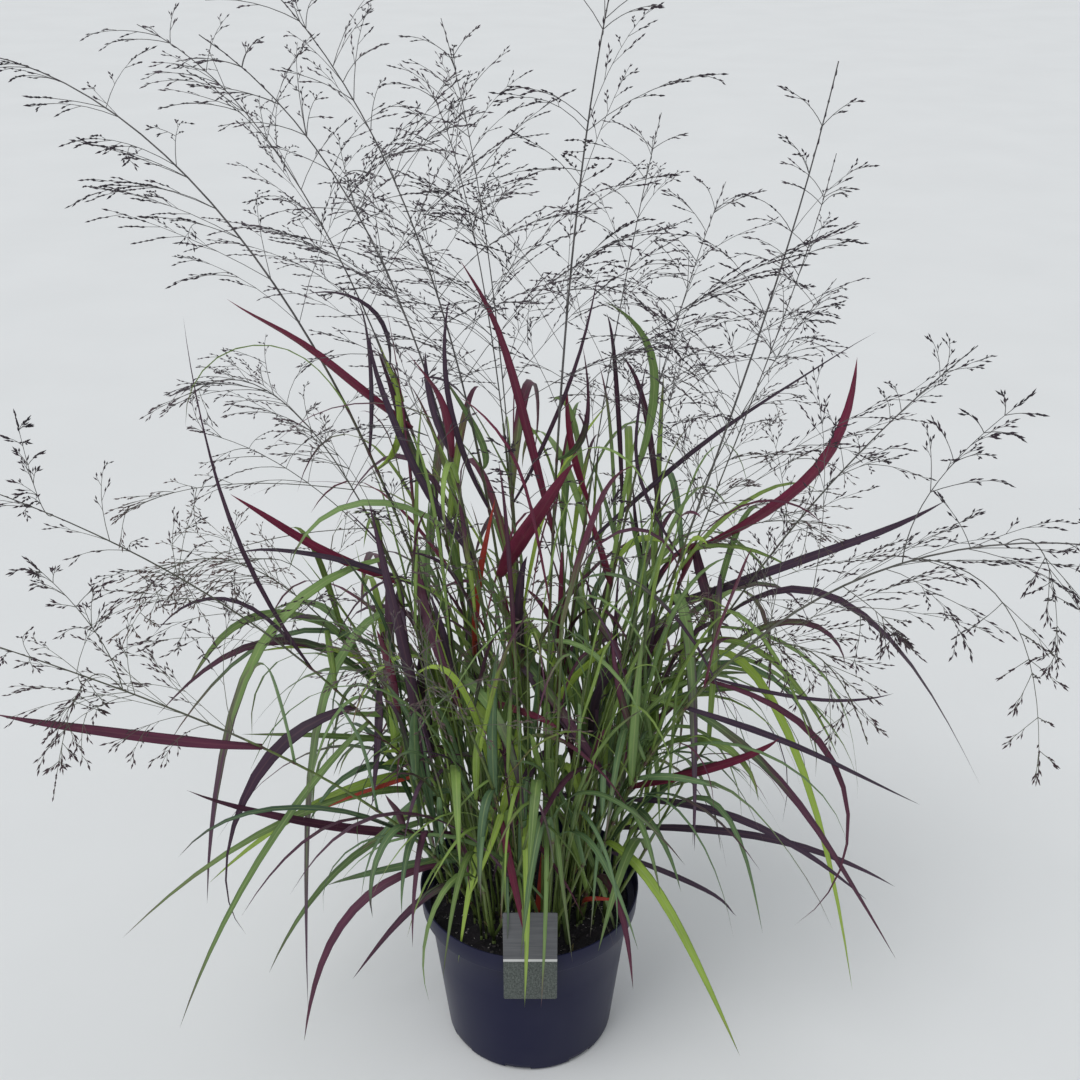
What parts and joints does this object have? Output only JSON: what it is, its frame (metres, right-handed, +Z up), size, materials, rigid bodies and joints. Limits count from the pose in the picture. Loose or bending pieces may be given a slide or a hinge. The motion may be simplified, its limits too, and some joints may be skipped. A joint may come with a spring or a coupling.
{
  "type": "switchgrass in a nursery pot",
  "caption": "Potted clump of upright switchgrass: arching green and burgundy leaves under airy dark flower sprays, rooted in compost in a round black pot with a blank label.",
  "frame": {"origin": "centre of the pot's flat base, on the surface it stands on", "axes": "+Z up; -Y towards the side that bears the label; +X to the right as seen facing the label"},
  "size_m": [0.8978, 0.664, 1.0679],
  "materials": {
    "pot_plastic": "navy-black moulded plastic with a soft sheen",
    "compost": "damp dark peat compost with pale flecks",
    "label_card": "grey printed plastic card, blank",
    "leaf_green": "satin leaf, mid green",
    "leaf_lime": "satin leaf, bright yellowish green",
    "leaf_blue_green": "satin leaf, dull bluish green",
    "leaf_burgundy": "satin leaf, burgundy to plum",
    "spray": "dry dark purple-grey spikelets on fine branches"
  },
  "bodies": {
    "root": {"pot": "pot_plastic", "compost": "compost", "label": "label_card", "culm_01": "leaf_green", "culm_02": "leaf_lime", "culm_03": "leaf_blue_green", "culm_04": "leaf_green", "culm_05": "leaf_lime", "culm_06": "leaf_blue_green", "culm_07": "leaf_green", "culm_08": "leaf_lime", "culm_09": "leaf_blue_green", "culm_10": "leaf_green", "culm_11": "leaf_lime", "culm_12": "leaf_blue_green", "culm_13": "leaf_green", "culm_14": "leaf_lime", "culm_15": "leaf_blue_green", "culm_16": "leaf_green", "culm_17": "leaf_lime", "culm_18": "leaf_blue_green", "culm_19": "leaf_green", "culm_20": "leaf_lime", "panicle_01": "spray", "panicle_02": "spray", "panicle_03": "spray", "panicle_04": "spray", "panicle_05": "spray", "panicle_06": "spray", "panicle_07": "spray", "panicle_08": "spray", "panicle_09": "spray", "panicle_10": "spray", "panicle_11": "spray", "panicle_12": "spray", "panicle_13": "spray", "panicle_14": "spray", "panicle_15": "spray", "panicle_16": "spray", "panicle_17": "spray", "panicle_18": "spray", "panicle_19": "spray", "panicle_20": "spray", "tuft_01": "leaf_lime", "tuft_02": "leaf_blue_green", "tuft_03": "leaf_green", "tuft_04": "leaf_lime", "tuft_05": "leaf_blue_green", "tuft_06": "leaf_green", "tuft_07": "leaf_lime", "tuft_08": "leaf_blue_green", "red_leaf_01": "leaf_burgundy", "red_leaf_02": "leaf_burgundy", "red_leaf_03": "leaf_burgundy", "red_leaf_04": "leaf_burgundy", "red_leaf_05": "leaf_burgundy", "red_leaf_06": "leaf_burgundy", "red_leaf_07": "leaf_burgundy", "red_leaf_08": "leaf_burgundy", "red_leaf_09": "leaf_burgundy"}
  },
  "joints": []
}
